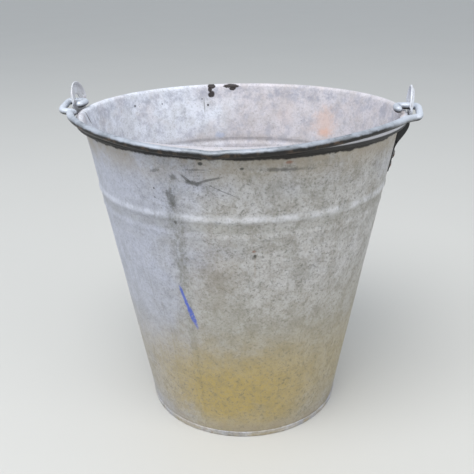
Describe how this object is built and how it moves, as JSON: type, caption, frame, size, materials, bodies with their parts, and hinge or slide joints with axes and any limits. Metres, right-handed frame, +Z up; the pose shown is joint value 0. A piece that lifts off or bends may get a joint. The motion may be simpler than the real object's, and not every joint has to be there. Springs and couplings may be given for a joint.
{
  "type": "bucket",
  "caption": "Round tapered sheet-metal bucket with a rolled rim, two raised ribs, a riveted ear on each side and a hinged wire bail folded down on the rim.",
  "frame": {"origin": "centre of the base ring on the ground plane", "axes": "+Z up along the bucket's axis; the bail hinges about X, and at rest it lies folded towards -Y, the side with the seam"},
  "size_m": [0.3195, 0.2975, 0.3083],
  "materials": {
    "zinc_sheet": "dull weathered hot-dip zinc with soil stains",
    "zinc_ear": "dull weathered zinc, rusty at the edges",
    "rivet_steel": "dull dark zinc",
    "steel_wire": "dull grey steel with rust"
  },
  "bodies": {
    "bucket": {"wall_sheet": "zinc_sheet", "base_disc": "zinc_sheet", "rim_wire": "steel_wire", "left_ear": "zinc_ear", "left_rivet_front": "rivet_steel", "left_rivet_rear": "rivet_steel", "left_rivet_lower": "rivet_steel", "right_ear": "zinc_ear", "right_rivet_front": "rivet_steel", "right_rivet_rear": "rivet_steel", "right_rivet_lower": "rivet_steel"},
    "bail": {"bail": "steel_wire"}
  },
  "joints": [
    {"name": "bail_hinge", "type": "hinge", "parent": "bucket", "child": "bail", "pos_m": [0, 0, 0.2902], "axis": [-1, 0, 0], "range_deg": [0, 184]}
  ]
}
